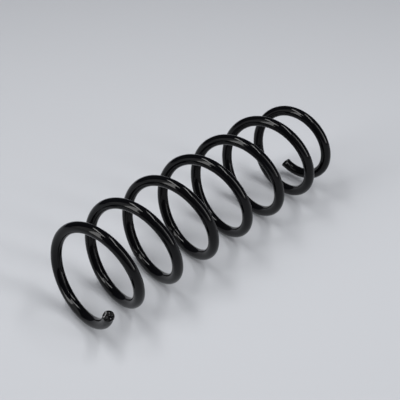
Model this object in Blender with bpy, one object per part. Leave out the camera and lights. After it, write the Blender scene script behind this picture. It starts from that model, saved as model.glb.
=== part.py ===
"""Helical compression spring for a vehicle's suspension, wound from one length of round steel bar.

The spring lies on its side with its axis along X. Its wide end is at low X and its narrow end at high X.
The origin is on the surface that it lies on, under the middle of its box. Metres, +Z up.
"""

import math

import bpy
from mathutils import Vector

# The bar and the body of the coil. Coil diameters are taken between the centres of the bar.
BAR_DIAMETER = 0.012
BODY_COIL_DIAMETER = 0.104
BODY_PITCH = 0.0556

# The wide end, which widens and opens to the body. Lengths along the bar are in turns.
WIDE_END_COIL_DIAMETER = 0.0982
WIDE_END_PITCH = 0.0388
WIDE_END_WIDENING_TURNS = 1.92
WIDE_END_OPENING_TURNS = 1.60

# The narrow end, where the last stretch of bar is held at one diameter to grip its seat.
NARROW_END_COIL_DIAMETER = 0.0899
NARROW_END_PITCH = 0.0204
NARROW_END_HELD_TURNS = 0.635
NARROW_END_TAPER_TURNS = 0.67
NARROW_END_CLOSING_TURNS = 1.41

# The cut ends of the bar, in degrees round the axis from straight down, rising towards +Y.
WIDE_TIP_ANGLE = -72.7
NARROW_TIP_ANGLE = 24.9
WHOLE_TURNS = 7

# The last stretch of bar before each cut end is bent less than the coil, so the tip stands out from it.
TIP_STANDS_OUT = 0.0016
WIDE_TIP_STRETCH_TURNS = 0.184
NARROW_TIP_STRETCH_TURNS = 0.128
WIDE_TIP_LEANS_IN = 0.0011

# Facets, which lie outside the round bar and coil, so that the solid's box holds the real spring.
# The short steps at the tips keep the cut faces square to the bar.
STEPS_PER_TURN = 36
TIP_STEP_ANGLE = 2.0
BAR_SIDES = 18

TURNS = WHOLE_TURNS + (NARROW_TIP_ANGLE - WIDE_TIP_ANGLE) / 360


def eased(share):
    """Smooth rise from 0 to 1 as share goes from 0 to 1, level at both ends."""
    share = min(max(share, 0.0), 1.0)
    return share * share * (3 - 2 * share)


def eased_length(share):
    """Area under eased() from 0 to share."""
    if share <= 0:
        return 0.0
    inside = min(share, 1.0)
    return inside**3 - inside**4 / 2 + (share - inside)


def at_wide_tip(turn):
    """Share of its whole departure from the coil that the bar has near the wide end's tip."""
    return 1 - eased(turn / WIDE_TIP_STRETCH_TURNS)


def coil_radius(turn):
    """Distance from the axis to the centre of the bar."""
    body = BODY_COIL_DIAMETER / 2
    taper_start = TURNS - NARROW_END_HELD_TURNS - NARROW_END_TAPER_TURNS
    at_wide_end = 1 - eased(turn / WIDE_END_WIDENING_TURNS)
    at_narrow_end = eased((turn - taper_start) / NARROW_END_TAPER_TURNS)
    at_a_tip = at_wide_tip(turn) + 1 - eased((TURNS - turn) / NARROW_TIP_STRETCH_TURNS)
    return (
        body
        - (body - WIDE_END_COIL_DIAMETER / 2) * at_wide_end
        - (body - NARROW_END_COIL_DIAMETER / 2) * at_narrow_end
        + TIP_STANDS_OUT * at_a_tip
    )


def rise(turn):
    """Distance along the axis, with the pitch eased at both ends."""
    opening = WIDE_END_OPENING_TURNS
    closing = NARROW_END_CLOSING_TURNS
    closed_at_wide_end = turn - opening * eased_length(turn / opening)
    closed_at_narrow_end = closing * eased_length((turn - (TURNS - closing)) / closing)
    return (
        BODY_PITCH * turn
        - (BODY_PITCH - WIDE_END_PITCH) * closed_at_wide_end
        - (BODY_PITCH - NARROW_END_PITCH) * closed_at_narrow_end
        + WIDE_TIP_LEANS_IN * at_wide_tip(turn)
    )


def centre_line(angle):
    """Point of the bar's centre line at an angle from straight down, counted on from the wide end's tip."""
    turn = (angle - WIDE_TIP_ANGLE) / 360
    radius = coil_radius(turn)
    around = math.radians(angle)
    return Vector((rise(turn), radius * math.sin(around), -radius * math.cos(around)))


def corner_angles():
    """Angles of the coil's corners: the two tips, a short step inside each, and even steps between.

    The even steps put a flat of every turn straight down, so that the spring lies still on its side.
    """
    step_angle = 360 / STEPS_PER_TURN
    first = WIDE_TIP_ANGLE
    last = 360 * WHOLE_TURNS + NARROW_TIP_ANGLE
    steps = range(int(first // step_angle), int(last // step_angle) + 1)
    even = [(step + 0.5) * step_angle for step in steps]
    inner = [angle for angle in even if first + 2 * TIP_STEP_ANGLE < angle < last - 2 * TIP_STEP_ANGLE]
    return [first, first + TIP_STEP_ANGLE, *inner, last - TIP_STEP_ANGLE, last]


def coil_corner(angle):
    """Corner of the coil, as far outside the centre line as puts the middle of each straight on it."""
    point = centre_line(angle)
    outside = 1 / math.cos(math.pi / STEPS_PER_TURN)
    return Vector((point.x, point.y * outside, point.z * outside))


def powder_coat():
    """Glossy black powder coat over the steel."""
    material = bpy.data.materials.new("black_powder_coat")
    material.use_nodes = True
    shader = material.node_tree.nodes["Principled BSDF"]
    shader.inputs["Base Color"].default_value = (0.006, 0.006, 0.007, 1)
    shader.inputs["Metallic"].default_value = 0.0
    shader.inputs["Roughness"].default_value = 0.22
    return material


def wound_bar(name, points):
    """Bar along the points, cut square at both ends, with flats that touch the round bar inside it."""
    curve = bpy.data.curves.new(name, "CURVE")
    curve.dimensions = "3D"
    curve.bevel_depth = BAR_DIAMETER / 2 / math.cos(math.pi / BAR_SIDES)
    curve.bevel_resolution = BAR_SIDES // 2 - 2
    curve.use_fill_caps = True
    spline = curve.splines.new("POLY")
    spline.points.add(len(points) - 1)
    for corner, point in zip(spline.points, points):
        corner.co = (*point, 1)
    curve.materials.append(powder_coat())
    return bpy.data.objects.new(name, curve)


def lay_on_origin(spring):
    """Moves the spring so that the underside of its box is centred on the origin."""
    bpy.context.view_layer.update()
    corners = [Vector(corner) for corner in spring.bound_box]
    low = Vector([min(corner[axis] for corner in corners) for axis in range(3)])
    high = Vector([max(corner[axis] for corner in corners) for axis in range(3)])
    spring.location = (-(low.x + high.x) / 2, -(low.y + high.y) / 2, -low.z)


for leftover in list(bpy.data.objects):
    bpy.data.objects.remove(leftover)

collection = bpy.data.collections.new("suspension_coil_spring")
bpy.context.scene.collection.children.link(collection)

coil_spring = wound_bar("coil_spring", [coil_corner(angle) for angle in corner_angles()])
collection.objects.link(coil_spring)
lay_on_origin(coil_spring)
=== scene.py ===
import math

import bmesh
import bpy
from mathutils import Matrix, Vector, noise


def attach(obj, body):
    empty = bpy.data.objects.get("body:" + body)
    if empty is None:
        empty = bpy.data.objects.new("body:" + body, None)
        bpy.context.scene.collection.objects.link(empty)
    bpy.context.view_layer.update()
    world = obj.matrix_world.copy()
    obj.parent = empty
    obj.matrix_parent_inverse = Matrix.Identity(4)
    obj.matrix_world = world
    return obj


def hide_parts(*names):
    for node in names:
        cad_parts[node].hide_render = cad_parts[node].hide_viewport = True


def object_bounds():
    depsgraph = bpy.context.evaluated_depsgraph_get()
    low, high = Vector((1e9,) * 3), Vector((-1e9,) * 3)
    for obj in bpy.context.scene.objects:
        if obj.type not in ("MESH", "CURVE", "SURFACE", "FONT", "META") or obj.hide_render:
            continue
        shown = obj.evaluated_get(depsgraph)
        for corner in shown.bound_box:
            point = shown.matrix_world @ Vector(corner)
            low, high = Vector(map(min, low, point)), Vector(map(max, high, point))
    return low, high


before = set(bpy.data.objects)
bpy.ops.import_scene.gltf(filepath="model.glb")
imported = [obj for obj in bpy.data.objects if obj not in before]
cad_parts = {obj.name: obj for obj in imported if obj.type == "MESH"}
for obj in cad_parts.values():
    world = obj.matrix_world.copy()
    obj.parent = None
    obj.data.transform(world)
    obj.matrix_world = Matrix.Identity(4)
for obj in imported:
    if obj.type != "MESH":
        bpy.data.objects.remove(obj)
cad_low, cad_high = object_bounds()

# The coiled bar is one length of 12 mm round spring steel, heated, wound round a mandrel, quenched, tempered
# and shot-peened. It opens from the wide end's seat to an even pitch, and closes and narrows at the other end
# to grip its seat. The last stretch before each cut end is bent less than the coil.

# Sizes are in metres, angles in degrees from straight down towards +Y, and lengths along the coil in turns.
BAR_RADIUS = 0.006
BODY_COIL_DIAMETER = 0.104
BODY_PITCH = 0.0556
WIDE_END_COIL_DIAMETER = 0.0982
WIDE_END_PITCH = 0.0388
WIDE_END_WIDENING_TURNS = 1.92
WIDE_END_OPENING_TURNS = 1.60
NARROW_END_COIL_DIAMETER = 0.0899
NARROW_END_PITCH = 0.0204
NARROW_END_HELD_TURNS = 0.635
NARROW_END_TAPER_TURNS = 0.67
NARROW_END_CLOSING_TURNS = 1.41
WIDE_TIP_ANGLE = -72.7
NARROW_TIP_ANGLE = 24.9
WHOLE_TURNS = 7
TIP_STANDS_OUT = 0.0016
WIDE_TIP_STRETCH_TURNS = 0.184
NARROW_TIP_STRETCH_TURNS = 0.128
WIDE_TIP_LEANS_IN = 0.0011
TURNS = WHOLE_TURNS + (NARROW_TIP_ANGLE - WIDE_TIP_ANGLE) / 360

# The mesh has even rings along the coil, and closer ones towards the tips, where the surface is uneven.
SIDES = 80
RING_TURNS = 1 / 120
TIP_RING_TURNS = 0.0004
RING_GROWTH = 1.08

# The rolled bar has low dents, which show under the gloss, and deeper ones where its ends were gripped.
# The last value picks the stretch of the pattern that the grips left.
DENT_SIZE = 0.016
DENT_DEPTH = 0.00005
GRIP_LENGTH = 0.024
GRIP_DENT_LENGTH = 0.006
GRIP_DENT_WIDTH = 0.003
WIDE_GRIP_DENT_DEPTH = 0.00025
NARROW_GRIP_DENT_DEPTH = 0.00035
GRIP_PATTERN_START = 0.187


def eased(share):
    """Smooth rise from 0 to 1 as share goes from 0 to 1, level at both ends."""
    share = min(max(share, 0.0), 1.0)
    return share * share * (3 - 2 * share)


def eased_length(share):
    """Area under eased() from 0 to share."""
    if share <= 0:
        return 0.0
    inside = min(share, 1.0)
    return inside**3 - inside**4 / 2 + (share - inside)


def at_wide_tip(turn):
    """Share of its whole departure from the coil that the bar has near the wide end's tip."""
    return 1 - eased(turn / WIDE_TIP_STRETCH_TURNS)


def coil_radius(turn):
    """Distance from the spring's axis to the centre of the bar."""
    body = BODY_COIL_DIAMETER / 2
    taper_start = TURNS - NARROW_END_HELD_TURNS - NARROW_END_TAPER_TURNS
    at_wide_end = 1 - eased(turn / WIDE_END_WIDENING_TURNS)
    at_narrow_end = eased((turn - taper_start) / NARROW_END_TAPER_TURNS)
    at_a_tip = at_wide_tip(turn) + 1 - eased((TURNS - turn) / NARROW_TIP_STRETCH_TURNS)
    return (
        body
        - (body - WIDE_END_COIL_DIAMETER / 2) * at_wide_end
        - (body - NARROW_END_COIL_DIAMETER / 2) * at_narrow_end
        + TIP_STANDS_OUT * at_a_tip
    )


def rise(turn):
    """Distance along the spring's axis, with the pitch eased at both ends."""
    opening = WIDE_END_OPENING_TURNS
    closing = NARROW_END_CLOSING_TURNS
    closed_at_wide_end = turn - opening * eased_length(turn / opening)
    closed_at_narrow_end = closing * eased_length((turn - (TURNS - closing)) / closing)
    return (
        BODY_PITCH * turn
        - (BODY_PITCH - WIDE_END_PITCH) * closed_at_wide_end
        - (BODY_PITCH - NARROW_END_PITCH) * closed_at_narrow_end
        + WIDE_TIP_LEANS_IN * at_wide_tip(turn)
    )


def outward_at(turn):
    """Direction from the spring's axis to the bar."""
    around = math.radians(WIDE_TIP_ANGLE + 360 * turn)
    return Vector((0, math.sin(around), -math.cos(around)))


def centre_line(turn):
    """Point of the bar's centre line."""
    return Vector((rise(turn), 0, 0)) + outward_at(turn) * coil_radius(turn)


def bar_axes(turn):
    """Direction of the bar, and two across it: away from the spring's axis, and along that axis."""
    step = TIP_RING_TURNS / 2
    along = (centre_line(turn + step) - centre_line(turn - step)).normalized()
    outwards = outward_at(turn)
    outwards = (outwards - along * outwards.dot(along)).normalized()
    return along, outwards, along.cross(outwards)


def ring_places():
    """Places of the bar's rings along the coil, in turns."""
    near_tip = [0.0]
    step = TIP_RING_TURNS
    while step < RING_TURNS:
        near_tip.append(near_tip[-1] + step)
        step *= RING_GROWTH
    between = TURNS - 2 * near_tip[-1]
    count = round(between / RING_TURNS)
    even = [near_tip[-1] + between * number / count for number in range(1, count)]
    return [*near_tip, *even, *[TURNS - place for place in reversed(near_tip)]]


def side_angle(side):
    """Angle round the bar of one of its sides, from the direction away from the spring's axis."""
    return 2 * math.pi * side / SIDES


def dent(length, angle, dent_length, dent_width):
    """Share of the dents' depth that the surface has, at a length along the bar and an angle round it."""
    across = BAR_RADIUS / dent_width
    place = Vector((length / dent_length, across * math.cos(angle), across * math.sin(angle)))
    return min(max(0.5 + noise.noise(place), 0.0), 1.0)


places = ring_places()
lengths = [0.0]
for before, here in zip(places, places[1:]):
    lengths.append(lengths[-1] + (centre_line(here) - centre_line(before)).length)

bar = bmesh.new()
straight_bar = bar.verts.layers.float_vector.new("straight_bar")
# Share of light grey on the cut faces: thin coat, and painted glints on the chip's edge and the sharpest
# grains.
painted_glint_and_thin_coat = bar.verts.layers.float.new("painted_glint_and_thin_coat")


def bar_point(place, length, out_of_centre, side_of_centre):
    """Adds a point of the bar, and keeps where it lay on the straight bar for the coat's pattern."""
    point = bar.verts.new(place)
    point[straight_bar] = (length, out_of_centre, side_of_centre)
    return point


def skin(ring, next_ring):
    """Adds the faces between two rings of points."""
    faces = []
    for side in range(SIDES):
        following = (side + 1) % SIDES
        faces.append(bar.faces.new((ring[side], ring[following], next_ring[following], next_ring[side])))
    return faces


rings = []
for turn, length in zip(places, lengths):
    along, outwards, sideways = bar_axes(turn)
    grip_depth = WIDE_GRIP_DENT_DEPTH * (1 - eased(length / GRIP_LENGTH))
    grip_depth += NARROW_GRIP_DENT_DEPTH * (1 - eased((lengths[-1] - length) / GRIP_LENGTH))
    ring = []
    for side in range(SIDES):
        angle = side_angle(side)
        grip_dent = dent(length + GRIP_PATTERN_START, angle, GRIP_DENT_LENGTH, GRIP_DENT_WIDTH)
        radius = BAR_RADIUS - DENT_DEPTH * dent(length, angle, DENT_SIZE, DENT_SIZE) - grip_depth * grip_dent
        out_of_centre = radius * math.cos(angle)
        side_of_centre = radius * math.sin(angle)
        place = centre_line(turn) + outwards * out_of_centre + sideways * side_of_centre
        ring.append(bar_point(place, length, out_of_centre, side_of_centre))
    rings.append(ring)
for ring, next_ring in zip(rings, rings[1:]):
    skin(ring, next_ring)

# The cut ends. The bar is sheared to length before it is coiled. The blade rolls one edge of the face over,
# the rest breaks off rough and a little out of square, and a lip of pushed metal swells at the far edge.
# The coat covers it all, and lies thin on the sharpest grains and on the edge of the wide end's chip.
# There a light grey is painted in, partly for the thin coat and partly as painted glints.

# Directions on a face are angles from the one that points away from the spring's axis.
END_RINGS = 24
FACE_RINGS = 24
RIM_ROUNDING = 0.0004
SWOLLEN_LENGTH = 0.003
COARSE_GRAIN = 0.0026
COARSE_GRAIN_HEIGHT = 0.00022
FINE_GRAIN = 0.0010
FINE_GRAIN_HEIGHT = 0.00007
# Grains above this noise level get the light grey of thin coat and painted glints.
GLINT_AND_WEAR_ABOVE = 0.47
GLINT_AND_WEAR_RANGE = 0.2
GLINT_AND_WEAR_SHARE = 0.7
WIDE_GRAIN_SEED = 21.51
WIDE_LIP = 0.0006
WIDE_LIP_AT = math.radians(-93)
WIDE_LEAN = 0.0006
WIDE_LEAN_AT = math.radians(-141)
NARROW_GRAIN_SEED = 8.2
NARROW_LIP = 0.0003
NARROW_LIP_AT = math.radians(90)
NARROW_LEAN = 0.0002
NARROW_LEAN_AT = math.radians(60)
CHIP_OUT = 0.0052
CHIP_AT = math.radians(156)
CHIP_HALF_LENGTH = 0.0036
CHIP_HALF_WIDTH = 0.0020
CHIP_DEPTH = 0.0022
CHIP_EDGE_HEIGHT = 0.0002
CHIP_EDGE_WIDTH = 0.09


def grain(out_of_centre, side_of_centre, size, seed):
    """Height of the broken steel's grains, from -1 to 1."""
    return noise.noise(Vector((out_of_centre / size, side_of_centre / size, seed)))


def face_height(out_of_centre, side_of_centre, lean, lean_at, seed):
    """Height of a cut face above a square, smooth cut."""
    towards_high_side = out_of_centre * math.cos(lean_at) + side_of_centre * math.sin(lean_at)
    return (
        lean * towards_high_side / BAR_RADIUS
        + COARSE_GRAIN_HEIGHT * grain(out_of_centre, side_of_centre, COARSE_GRAIN, seed)
        + FINE_GRAIN_HEIGHT * grain(out_of_centre, side_of_centre, FINE_GRAIN, seed)
    )


def face_glints_and_wear(out_of_centre, side_of_centre, seed):
    """Share of light grey on a cut face's sharpest grains, from 0 to 1: thin coat and painted glints."""
    fine = grain(out_of_centre, side_of_centre, FINE_GRAIN, seed)
    return GLINT_AND_WEAR_SHARE * eased((fine - GLINT_AND_WEAR_ABOVE) / GLINT_AND_WEAR_RANGE)


def chip_reach(out_of_centre, side_of_centre):
    """Distance from the middle of the chip, as a share of the distance to its edge."""
    towards_rim = out_of_centre * math.cos(CHIP_AT) + side_of_centre * math.sin(CHIP_AT) - CHIP_OUT
    along_rim = side_of_centre * math.cos(CHIP_AT) - out_of_centre * math.sin(CHIP_AT)
    return math.hypot(towards_rim / CHIP_HALF_WIDTH, along_rim / CHIP_HALF_LENGTH)


def chip_edge(reach):
    """Nearness to the chip's edge, 1 on it."""
    return math.exp(-(((reach - 1) / CHIP_EDGE_WIDTH) ** 2))


def wide_face_height(out_of_centre, side_of_centre):
    """Height of the wide end's cut face, with its chip."""
    reach = chip_reach(out_of_centre, side_of_centre)
    chip = CHIP_EDGE_HEIGHT * chip_edge(reach) - CHIP_DEPTH * (1 - eased(reach))
    return face_height(out_of_centre, side_of_centre, WIDE_LEAN, WIDE_LEAN_AT, WIDE_GRAIN_SEED) + chip


def wide_face_glints_and_wear(out_of_centre, side_of_centre):
    """Share of light grey on the wide end's cut face, thin coat and painted glints, on the chip's edge and
    grains.
    """
    at_chip = chip_edge(chip_reach(out_of_centre, side_of_centre))
    return max(at_chip, face_glints_and_wear(out_of_centre, side_of_centre, WIDE_GRAIN_SEED))


def narrow_face_height(out_of_centre, side_of_centre):
    """Height of the narrow end's cut face."""
    return face_height(out_of_centre, side_of_centre, NARROW_LEAN, NARROW_LEAN_AT, NARROW_GRAIN_SEED)


def narrow_face_glints_and_wear(out_of_centre, side_of_centre):
    """Share of light grey on the narrow end's cut face: thin coat and painted glints on its grains."""
    return face_glints_and_wear(out_of_centre, side_of_centre, NARROW_GRAIN_SEED)


def cut_end(end_rings, turn, lip, lip_at, height, coat_thinning_and_glints):
    """Swells the bar's end, rounds its rim and adds its sheared face. The rings run from the tip in."""
    along, outwards, sideways = bar_axes(turn)
    out_of_bar = -along if turn == 0 else along
    tip = centre_line(turn)
    tip_length = end_rings[0][0][straight_bar].x
    for ring in end_rings:
        distance = abs(ring[0][straight_bar].x - tip_length)
        nearness = 1 - eased(distance / SWOLLEN_LENGTH)
        to_edge = max(RIM_ROUNDING - distance, 0.0)
        rounding = RIM_ROUNDING - math.sqrt(RIM_ROUNDING**2 - to_edge**2)
        for side, point in enumerate(ring):
            angle = side_angle(side)
            across = outwards * math.cos(angle) + sideways * math.sin(angle)
            swelling = nearness * lip * (1 + math.cos(angle - lip_at)) / 2
            rim_height = height(BAR_RADIUS * math.cos(angle), BAR_RADIUS * math.sin(angle))
            point.co += across * (swelling - rounding) + out_of_bar * rim_height * nearness
    outer = end_rings[0]
    face = []
    for number in range(1, FACE_RINGS):
        share = 1 - number / FACE_RINGS
        inner = []
        for side in range(SIDES):
            angle = side_angle(side)
            swelling = lip * (1 + math.cos(angle - lip_at)) / 2
            radius = (BAR_RADIUS + swelling - RIM_ROUNDING) * share
            out_of_centre = radius * math.cos(angle)
            side_of_centre = radius * math.sin(angle)
            place = tip + outwards * out_of_centre + sideways * side_of_centre
            place += out_of_bar * height(out_of_centre, side_of_centre)
            inner.append(bar_point(place, tip_length, out_of_centre, side_of_centre))
        face += skin(outer, inner)
        outer = inner
    middle = bar_point(tip + out_of_bar * height(0, 0), tip_length, 0, 0)
    face += [bar.faces.new((outer[side - 1], outer[side], middle)) for side in range(SIDES)]
    for piece_of_face in face:
        piece_of_face.material_index = 1
        for point in piece_of_face.verts:
            # Painted glints and thin coat: the share of light grey that each point of a cut face gets.
            point[painted_glint_and_thin_coat] = coat_thinning_and_glints(point[straight_bar].y, point[straight_bar].z)


cut_end(rings[:END_RINGS], 0, WIDE_LIP, WIDE_LIP_AT, wide_face_height, wide_face_glints_and_wear)
narrow_rings = list(reversed(rings[-END_RINGS:]))
cut_end(narrow_rings, TURNS, NARROW_LIP, NARROW_LIP_AT, narrow_face_height, narrow_face_glints_and_wear)
bmesh.ops.recalc_face_normals(bar, faces=bar.faces)

# The finish is gloss black polyester powder, sprayed on the peened bar and baked to a skin 70 microns thick.
# It gives a deep, wet-looking black, with a faint orange peel and the bar's lengthwise marks showing in the
# highlights. Its IOR is set below a powder coat's usual 1.5, so that it stays black over the pale floor.
COAT_BLACK = "#050506"
COAT_IOR = 1.29
# Overspray dulls the gloss and lightens the black a little, in patches 1 to 2 cm across.
COAT_DUSTY_BLACK = "#08080A"
COAT_ROUGHNESS = (0.05, 0.10)
DUST_PATCH = 0.014
DUST_RANGE = (0.3, 0.7)
DUST_DETAIL = 4
# Rolling marks are about 0.3 mm apart on such bar. They are drawn wider here, so that they show.
MARK_LENGTH = 0.045
MARK_WIDTH = 0.0018
MARK_DEPTH = 0.00005
MARK_DETAIL = 3
# Orange peel on a coat of this thickness has waves 2 to 3 mm long.
ORANGE_PEEL = 0.0028
ORANGE_PEEL_DEPTH = 0.00003
ORANGE_PEEL_DETAIL = 1
# On the cut ends the coat follows the broken steel, whose grit holds dark, and greys where it lies thin.
# That grey is also a painted glint: it stands in for bright glints on the chip's edge and sharpest grains.
# Such grit is a few tenths of a millimetre across. It is drawn coarser here, so that it shows.
CUT_FACE_IOR = 1.22
CUT_FACE_ROUGHNESS = 0.16
# Light grey of thin coat, also used as painted glints.
PAINTED_GLINT_AND_THIN_COAT_GREY = "#A8A8AA"
GRIT = 0.0007
GRIT_DEPTH = 0.0001
GRIT_DETAIL = 3


def linear(hex_colour):
    """Linear colour of an sRGB hex value."""
    shares = [int(hex_colour[start : start + 2], 16) / 255 for start in (1, 3, 5)]
    return (*[s / 12.92 if s <= 0.04045 else ((s + 0.055) / 1.055) ** 2.4 for s in shares], 1)


def add(tree, kind, settings, links):
    """Adds a node with its settings and links. A Mix node's colours are inputs 6 and 7, mixed by 0."""
    node = tree.nodes.new(kind)
    for key, value in settings.items():
        if isinstance(key, str) and hasattr(node, key):
            setattr(node, key, value)
        else:
            node.inputs[key].default_value = value
    for key, source in links.items():
        tree.links.new(source, node.inputs[key])
    return node


def black_powder_coat():
    """Gloss powder coat over the length of the bar."""
    material = bpy.data.materials.new("black_powder_coat")
    material.use_nodes = True
    tree = material.node_tree
    shader = tree.nodes["Principled BSDF"]
    place = add(tree, "ShaderNodeAttribute", {"attribute_name": "straight_bar"}, {}).outputs["Vector"]
    mark_scale = (1 / MARK_LENGTH, 1 / MARK_WIDTH, 1 / MARK_WIDTH)
    stretched = add(tree, "ShaderNodeMapping", {"Scale": mark_scale}, {"Vector": place}).outputs["Vector"]
    mark_pattern = {"Scale": 1, "Detail": MARK_DETAIL}
    marks = add(tree, "ShaderNodeTexNoise", mark_pattern, {"Vector": stretched})
    peel_pattern = {"Scale": 1 / ORANGE_PEEL, "Detail": ORANGE_PEEL_DETAIL}
    peel = add(tree, "ShaderNodeTexNoise", peel_pattern, {"Vector": place})
    dust_pattern = {"Scale": 1 / DUST_PATCH, "Detail": DUST_DETAIL}
    dust = add(tree, "ShaderNodeTexNoise", dust_pattern, {"Vector": place})
    marked = add(tree, "ShaderNodeBump", {"Distance": MARK_DEPTH}, {"Height": marks.outputs["Fac"]})
    peeled = add(
        tree,
        "ShaderNodeBump",
        {"Distance": ORANGE_PEEL_DEPTH},
        {"Height": peel.outputs["Fac"], "Normal": marked.outputs["Normal"]},
    )
    clean, dusty = DUST_RANGE
    glossiest, dullest = COAT_ROUGHNESS
    roughness = add(
        tree,
        "ShaderNodeMapRange",
        {"From Min": clean, "From Max": dusty, "To Min": glossiest, "To Max": dullest},
        {"Value": dust.outputs["Fac"]},
    )
    black = add(
        tree,
        "ShaderNodeMix",
        {"data_type": "RGBA", 6: linear(COAT_BLACK), 7: linear(COAT_DUSTY_BLACK)},
        {0: dust.outputs["Fac"]},
    )
    shader.inputs["IOR"].default_value = COAT_IOR
    tree.links.new(black.outputs[2], shader.inputs["Base Color"])
    tree.links.new(roughness.outputs["Result"], shader.inputs["Roughness"])
    tree.links.new(peeled.outputs["Normal"], shader.inputs["Normal"])
    return material


def coated_sheared_steel():
    """The same coat on the cut ends."""
    material = bpy.data.materials.new("coated_sheared_steel")
    material.use_nodes = True
    tree = material.node_tree
    shader = tree.nodes["Principled BSDF"]
    place = add(tree, "ShaderNodeAttribute", {"attribute_name": "straight_bar"}, {}).outputs["Vector"]
    glint_and_thin_coat_share = add(tree, "ShaderNodeAttribute", {"attribute_name": "painted_glint_and_thin_coat"}, {}).outputs["Fac"]
    grit_pattern = {"Scale": 1 / GRIT, "Detail": GRIT_DETAIL}
    grit = add(tree, "ShaderNodeTexNoise", grit_pattern, {"Vector": place})
    rough = add(tree, "ShaderNodeBump", {"Distance": GRIT_DEPTH}, {"Height": grit.outputs["Fac"]})
    # This grey mix paints glints on the cut faces as well as thin coat.
    colour = add(
        tree,
        "ShaderNodeMix",
        {"data_type": "RGBA", 6: linear(COAT_BLACK), 7: linear(PAINTED_GLINT_AND_THIN_COAT_GREY)},
        {0: glint_and_thin_coat_share},
    )
    shader.inputs["IOR"].default_value = CUT_FACE_IOR
    shader.inputs["Roughness"].default_value = CUT_FACE_ROUGHNESS
    tree.links.new(colour.outputs[2], shader.inputs["Base Color"])
    tree.links.new(rough.outputs["Normal"], shader.inputs["Normal"])
    return material


# The bar is shaded smooth except over edges sharper than this. It was wound from the wide tip along X, and
# is then moved to where the CAD model lies.
SHARP_EDGE = math.radians(50)
coil_mesh = bpy.data.meshes.new("coiled_bar")
bar.to_mesh(coil_mesh)
bar.free()
coil_mesh.shade_smooth()
coil_mesh.set_sharp_from_angle(angle=SHARP_EDGE)
coil_mesh.materials.append(black_powder_coat())
coil_mesh.materials.append(coated_sheared_steel())
coiled_bar = bpy.data.objects.new("coiled_bar", coil_mesh)
bpy.context.scene.collection.objects.link(coiled_bar)
bpy.context.view_layer.update()
corners = [Vector(corner) for corner in coiled_bar.bound_box]
low = Vector([min(corner[axis] for corner in corners) for axis in range(3)])
high = Vector([max(corner[axis] for corner in corners) for axis in range(3)])
coil_mesh.transform(Matrix.Translation((cad_low + cad_high) / 2 - (low + high) / 2))
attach(coiled_bar, "root")
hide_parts("coil_spring")

# The floor is a wide sheet of pale background paper, laid flat under the spring, a hair low so that it cuts
# no part of the bar. Its matt face shows the spring's soft shadow and no reflection.
FLOOR_RADIUS = 12.0
FLOOR_SIDES = 96
FLOOR_BELOW = 0.0004
PAPER = "#BDBFC3"
PAPER_ROUGHNESS = 0.9
PAPER_SPECULAR_LEVEL = 0.1
floor_mesh = bpy.data.meshes.new("studio_floor")
disc = bmesh.new()
bmesh.ops.create_circle(disc, cap_ends=True, radius=FLOOR_RADIUS, segments=FLOOR_SIDES)
disc.to_mesh(floor_mesh)
disc.free()
floor = bpy.data.objects.new("studio_floor", floor_mesh)
bpy.context.scene.collection.objects.link(floor)
floor.location.z = -FLOOR_BELOW
paper = bpy.data.materials.new("matt_background_paper")
paper.use_nodes = True
paper_shader = paper.node_tree.nodes["Principled BSDF"]
paper_shader.inputs["Base Color"].default_value = linear(PAPER)
paper_shader.inputs["Roughness"].default_value = PAPER_ROUGHNESS
paper_shader.inputs["Specular IOR Level"].default_value = PAPER_SPECULAR_LEVEL
floor_mesh.materials.append(paper)

# The lamps are soft panels round the spring: an upright softbox on either side, each with a brighter strip
# just in front of it, and two strips overhead. They give the long highlights that run along the bar.
# Azimuths are from +X towards +Y, and the overhead strips run almost the way that the camera looks.
MIDDLE = (cad_low + cad_high) / 2
BOX_DISTANCE = 3.0
STRIP_DISTANCE = 2.96
OVERHEAD_HEIGHT = 1.3
HEADING = math.radians(43.2)
AHEAD = Vector((math.cos(HEADING), math.sin(HEADING), 0))
LEFT = Vector((-AHEAD.y, AHEAD.x, 0))
UP = Vector((0, 0, 1))


def panel(name, start, across, up, radiance):
    """Flat soft panel from its corner and two sides, with the light that each part of it gives."""
    light = bpy.data.lights.new(name, "AREA")
    light.shape = "RECTANGLE"
    light.size = across.length
    light.size_y = up.length
    light.energy = radiance * math.pi * across.length * up.length
    lamp = bpy.data.objects.new(name, light)
    bpy.context.scene.collection.objects.link(lamp)
    turned = Matrix((across.normalized(), up.normalized(), across.cross(up).normalized())).transposed()
    lamp.matrix_world = Matrix.Translation(start + (across + up) / 2) @ turned.to_4x4()
    lamp.visible_camera = False


def upright(name, distance, azimuth, width, lowest, highest, radiance):
    """Upright panel that faces the spring, with its width and its edges' elevations in degrees."""
    out = Vector((math.cos(math.radians(azimuth)), math.sin(math.radians(azimuth)), 0))
    across = Vector((-out.y, out.x, 0)) * 2 * distance * math.tan(math.radians(width / 2))
    bottom = distance * math.tan(math.radians(lowest))
    top = distance * math.tan(math.radians(highest))
    start = MIDDLE + out * distance - across / 2 + UP * bottom
    panel(name, start, across, UP * (top - bottom), radiance)


def overhead(name, left_from, left_to, near, far, radiance):
    """Level panel over the spring, with its edges to the left and ahead as shares of its height."""
    start = MIDDLE + (LEFT * left_to + AHEAD * near + UP) * OVERHEAD_HEIGHT
    across = LEFT * (left_from - left_to) * OVERHEAD_HEIGHT
    panel(name, start, across, AHEAD * (far - near) * OVERHEAD_HEIGHT, radiance)


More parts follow.
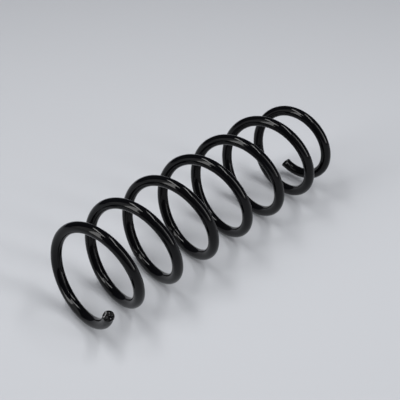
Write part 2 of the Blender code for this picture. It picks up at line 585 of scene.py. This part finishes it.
upright("left_softbox", BOX_DISTANCE, azimuth=153, width=42, lowest=1, highest=60, radiance=0.8)
upright("left_softbox_strip", STRIP_DISTANCE, azimuth=165, width=16, lowest=4, highest=60, radiance=5.8)
upright("right_softbox", BOX_DISTANCE, azimuth=-81, width=46, lowest=1, highest=58, radiance=0.7)
upright("right_softbox_strip", STRIP_DISTANCE, azimuth=-73, width=10, lowest=4, highest=58, radiance=7.5)
overhead("left_overhead_strip", left_from=0.25, left_to=0.43, near=-0.42, far=0.42, radiance=11.0)
overhead("right_overhead_strip", left_from=-0.48, left_to=-0.32, near=-0.42, far=0.44, radiance=11.4)

# The room behind the lamps is dim and faintly blue. It fills the shadows a little, and leaves the coat black
# between its highlights.
ROOM = "#8A8FA0"
ROOM_STRENGTH = 0.16
world = bpy.data.worlds.new("dim_studio")
bpy.context.scene.world = world
world.use_nodes = True
world.node_tree.nodes["Background"].inputs["Color"].default_value = linear(ROOM)
world.node_tree.nodes["Background"].inputs["Strength"].default_value = ROOM_STRENGTH

# The camera stands at the photograph's viewing angle, above and to the side of the wide end. Its angles are
# in degrees: its heading from +Y towards +X, how far it looks down, and its roll.
CAMERA_PLACE = Vector((-0.61404, -0.57575, 0.68090))
CAMERA_HEADING = 46.921
CAMERA_LOOKS_DOWN = 36.274
CAMERA_ROLL = 0.033
FOCAL_PIXELS = 933.8
FRAME_PIXELS = 400
SENSOR_WIDTH = 36
camera = bpy.data.objects.new("camera", bpy.data.cameras.new("camera"))
bpy.context.scene.collection.objects.link(camera)
camera.data.sensor_width = SENSOR_WIDTH
camera.data.lens = FOCAL_PIXELS / FRAME_PIXELS * SENSOR_WIDTH
camera.location = CAMERA_PLACE
camera.rotation_euler = (
    Matrix.Rotation(math.radians(-CAMERA_HEADING), 3, "Z")
    @ Matrix.Rotation(math.radians(90 - CAMERA_LOOKS_DOWN), 3, "X")
    @ Matrix.Rotation(math.radians(CAMERA_ROLL), 3, "Z")
).to_euler()
bpy.context.scene.camera = camera
bpy.context.scene.view_settings.view_transform = "Standard"
